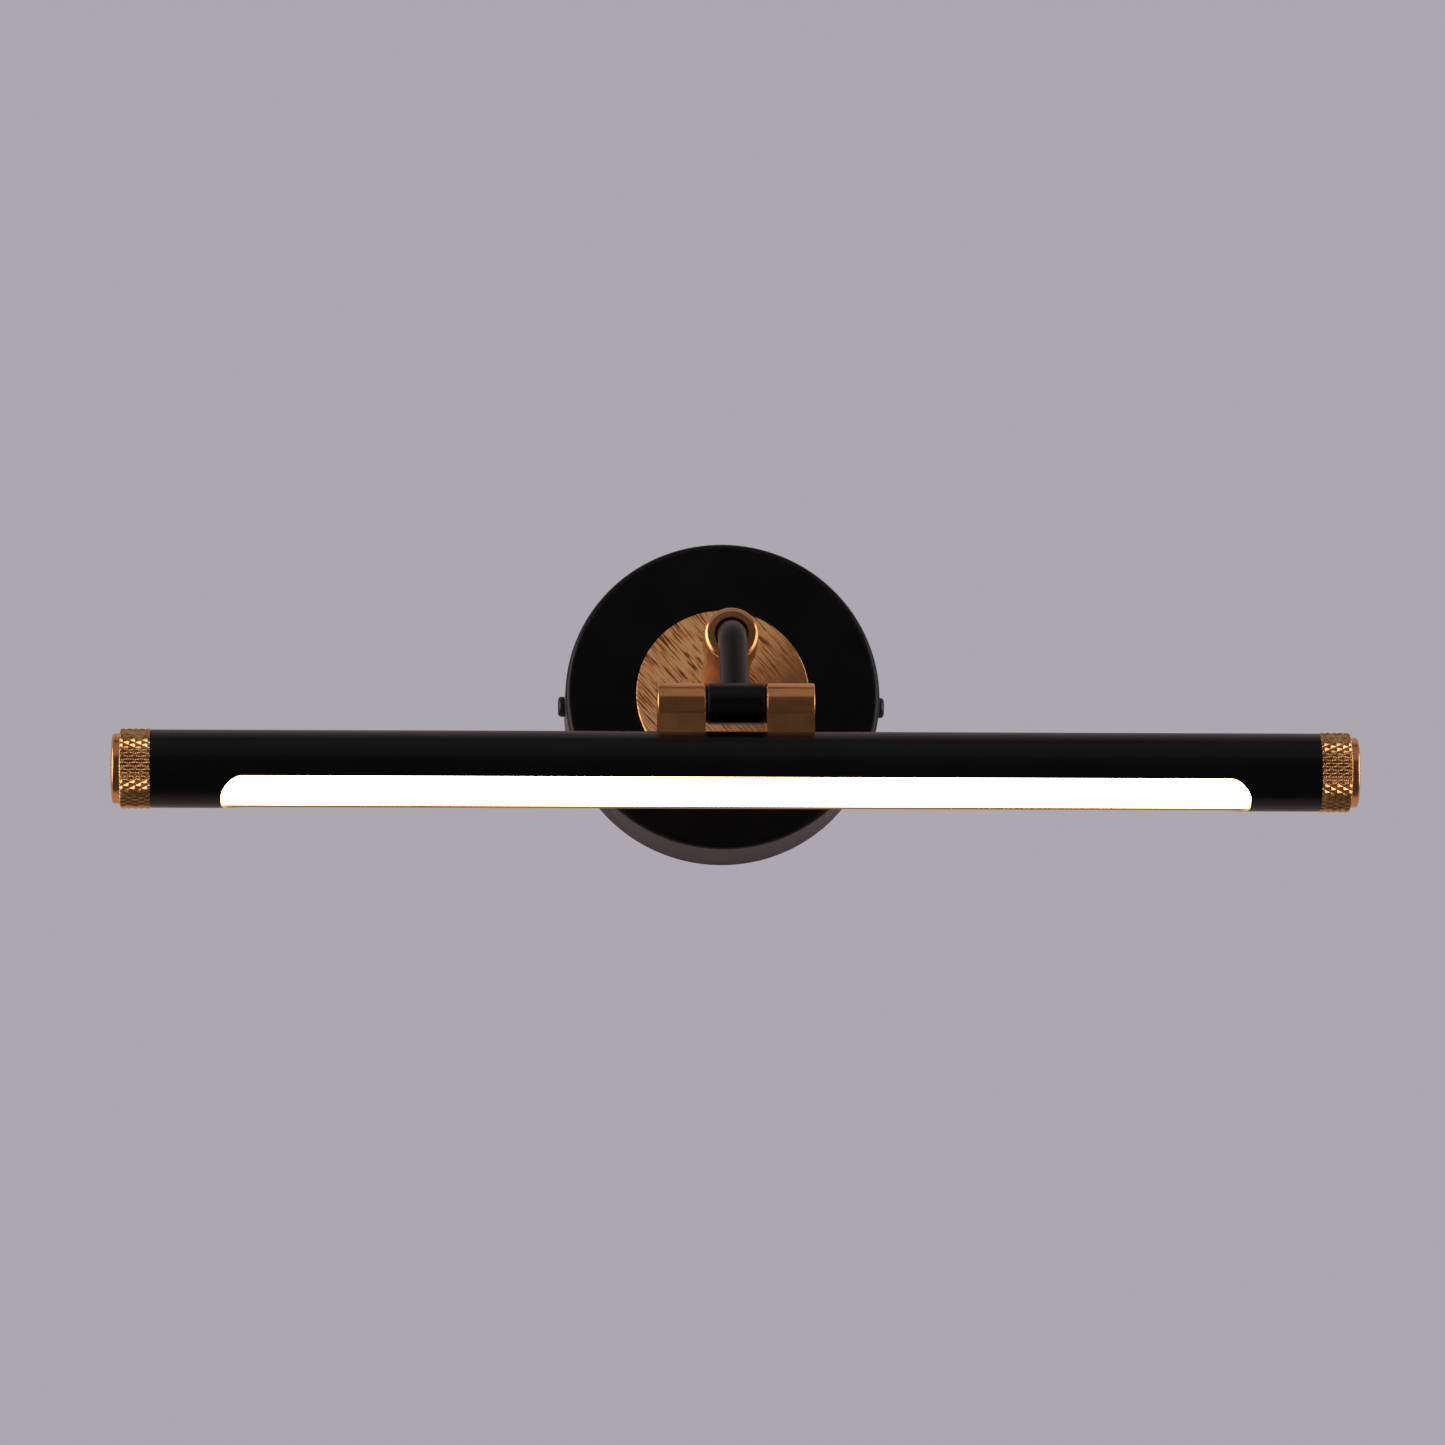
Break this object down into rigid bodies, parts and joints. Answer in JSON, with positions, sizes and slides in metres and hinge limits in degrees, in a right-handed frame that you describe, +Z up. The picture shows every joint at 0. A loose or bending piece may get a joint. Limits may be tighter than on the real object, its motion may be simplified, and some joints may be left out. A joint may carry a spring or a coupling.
{
  "type": "picture light",
  "caption": "Wall picture light: round black canopy with brass disc and boss, short bent arm, friction hinge and a horizontal lamp tube with an opal window and knurled brass ends.",
  "frame": {"origin": "centre of the canopy on the wall face", "axes": "+X along the lamp tube to the right as seen from the room, +Y into the wall, +Z up"},
  "size_m": [0.4066, 0.1545, 0.1207],
  "materials": {
    "bare_aluminium": "bare extruded aluminium",
    "black_paint": "satin black paint",
    "black_screw": "blackened steel screw",
    "board_green": "green circuit board",
    "board_white": "white LED board",
    "brushed_brass": "brushed brass",
    "bush_plastic": "acetal bush",
    "case_plastic": "white moulded plastic",
    "chip": "phosphor LED chips",
    "component": "moulded electronic components",
    "fibre": "dark fibre washers",
    "grommet_rubber": "black rubber",
    "knurled_brass": "diamond-knurled brass",
    "lead_sheath": "white flexible lead",
    "mains_sheath": "brown and blue insulated wires",
    "opal": "opal acrylic, lit from behind",
    "steel": "bright steel",
    "turned_brass": "satin turned brass",
    "zinc_steel": "zinc-plated steel"
  },
  "bodies": {
    "base": {"wall_bracket": "zinc_steel", "canopy": "black_paint", "canopy_screws": "black_screw", "face_disc": "brushed_brass", "boss_tube": "turned_brass", "boss_washer": "zinc_steel", "boss_nut": "turned_brass", "collar": "turned_brass", "collar_grub_screw": "steel", "swivel_bush": "bush_plastic", "driver_case": "case_plastic", "driver_cover": "case_plastic", "driver_board": "board_green", "driver_parts": "component", "driver_screws": "steel", "terminal_block": "case_plastic", "terminal_screws": "steel", "earth_screw": "turned_brass", "base_lead": "lead_sheath", "mains_leads": "mains_sheath"},
    "arm": {"arm_tube": "black_paint", "arm_stop_rings": "steel", "hinge_barrel": "black_paint", "friction_washers": "fibre", "arm_lead": "lead_sheath"},
    "head": {"knuckle_left": "turned_brass", "knuckle_right": "turned_brass", "pivot_stud_left": "steel", "pivot_stud_right": "steel", "pivot_caps": "turned_brass", "knuckle_screws": "steel", "lamp_tube": "black_paint", "tube_grommet": "grommet_rubber", "head_lead": "lead_sheath", "led_carrier": "bare_aluminium", "led_board": "board_white", "led_chips": "chip", "board_block": "case_plastic", "diffuser": "opal", "end_insert_left": "bare_aluminium", "end_insert_right": "bare_aluminium", "knurl_ring_left": "knurled_brass", "knurl_ring_right": "knurled_brass", "end_plug_left": "turned_brass", "end_plug_right": "turned_brass"}
  },
  "joints": [
    {"name": "arm_swivel", "type": "hinge", "parent": "base", "child": "arm", "pos_m": [0, -0.09, 0], "axis": [0, 1, 0], "range_deg": [-15, 15]},
    {"name": "head_tilt", "type": "hinge", "parent": "arm", "child": "head", "pos_m": [0, -0.141, -0.032], "axis": [1, 0, 0], "range_deg": [-90, 80]}
  ]
}
